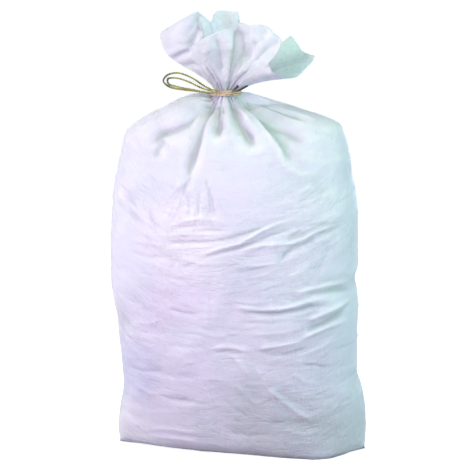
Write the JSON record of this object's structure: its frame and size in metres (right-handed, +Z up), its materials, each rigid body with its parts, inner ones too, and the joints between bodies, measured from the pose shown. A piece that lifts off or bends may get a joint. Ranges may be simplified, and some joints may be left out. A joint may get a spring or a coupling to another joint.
{
  "type": "cement bag",
  "caption": "Filled woven polypropylene sack standing upright, its mouth gathered and tied with twine below an open frill.",
  "frame": {"origin": "middle of the flat that the sack stands on, at the floor", "axes": "+Z up, from the base to the frill; +X along the sack's width, with the taller side of the frill at -X; -Y is the front, where the knot lies"},
  "size_m": [0.4311, 0.2019, 0.7264],
  "materials": {
    "woven_polypropylene": "white woven tape cloth, satin, creased",
    "twine": "twisted straw-olive twine, fibrous, matt"
  },
  "bodies": {
    "root": {"sack": "woven_polypropylene", "tie_twine": "twine"}
  },
  "joints": []
}
